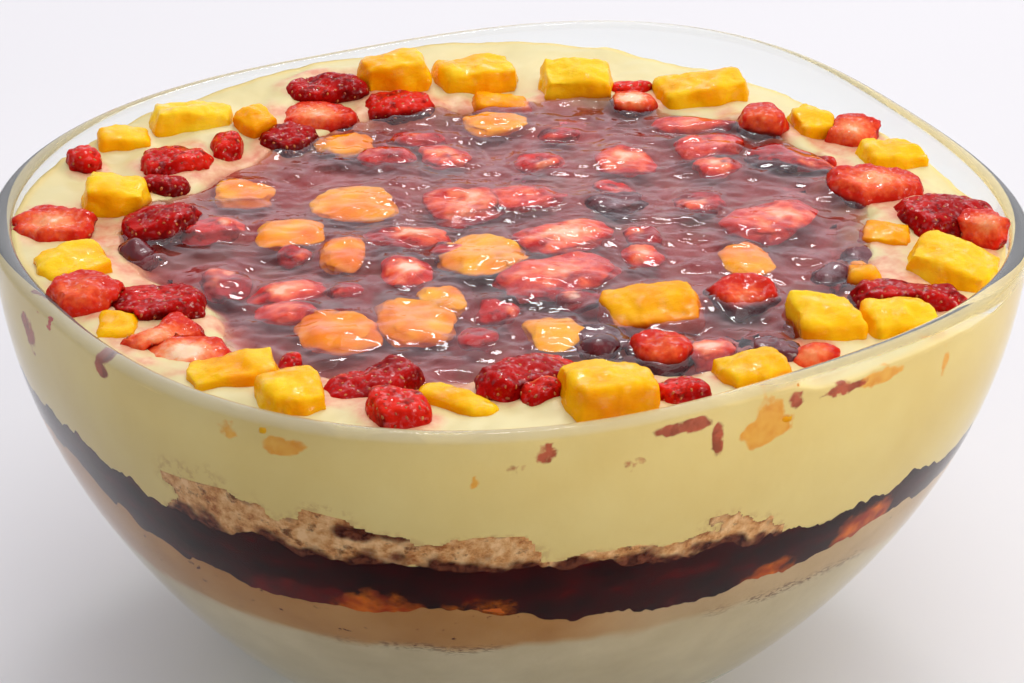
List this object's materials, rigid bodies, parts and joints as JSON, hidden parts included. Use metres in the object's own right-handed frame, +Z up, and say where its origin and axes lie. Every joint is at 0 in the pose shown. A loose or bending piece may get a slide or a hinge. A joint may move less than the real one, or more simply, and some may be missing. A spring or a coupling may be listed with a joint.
{
  "type": "trifle",
  "caption": "Fruit trifle in a clear rounded-square glass bowl: cream, red jelly, sponge and custard in layers, a pool of jelly and chopped mango and strawberry on top.",
  "frame": {"origin": "middle of the foot, on the surface that the bowl stands on", "axes": "+X along the bowl's wider way, +Y along its narrower way, +Z up"},
  "size_m": [0.25, 0.2204, 0.128],
  "materials": {
    "glass": "clear, smooth",
    "cream": "soft, moist beige cream",
    "jelly": "wet, glossy dark red jelly",
    "sponge": "open, soaked crumb",
    "custard": "smooth pale custard",
    "mango": "wet cut fruit",
    "strawberry": "wet cut fruit with seeds",
    "cherry": "wet dark fruit"
  },
  "bodies": {
    "root": {"bowl": "glass", "base_cream": "cream", "red_jelly": "jelly", "sponge": "sponge", "custard": "custard", "top_jelly": "jelly", "band_mango_01": "mango", "band_mango_02": "mango", "band_mango_03": "mango", "band_mango_04": "mango", "mango_01": "mango", "mango_02": "mango", "mango_03": "mango", "mango_04": "mango", "mango_05": "mango", "mango_06": "mango", "mango_07": "mango", "mango_08": "mango", "mango_09": "mango", "mango_10": "mango", "mango_11": "mango", "mango_12": "mango", "mango_13": "mango", "mango_14": "mango", "mango_15": "mango", "mango_16": "mango", "mango_17": "mango", "mango_18": "mango", "mango_19": "mango", "mango_20": "mango", "mango_21": "mango", "mango_22": "mango", "mango_23": "mango", "strawberry_01": "strawberry", "strawberry_02": "strawberry", "strawberry_03": "strawberry", "strawberry_04": "strawberry", "strawberry_05": "strawberry", "strawberry_06": "strawberry", "strawberry_07": "strawberry", "strawberry_08": "strawberry", "strawberry_09": "strawberry", "strawberry_10": "strawberry", "strawberry_11": "strawberry", "strawberry_12": "strawberry", "strawberry_13": "strawberry", "strawberry_14": "strawberry", "strawberry_15": "strawberry", "strawberry_16": "strawberry", "strawberry_17": "strawberry", "strawberry_18": "strawberry", "strawberry_19": "strawberry", "strawberry_20": "strawberry", "strawberry_21": "strawberry", "strawberry_22": "strawberry", "strawberry_23": "strawberry", "strawberry_24": "strawberry", "strawberry_25": "strawberry", "cherry_01": "cherry", "cherry_02": "cherry"}
  },
  "joints": []
}
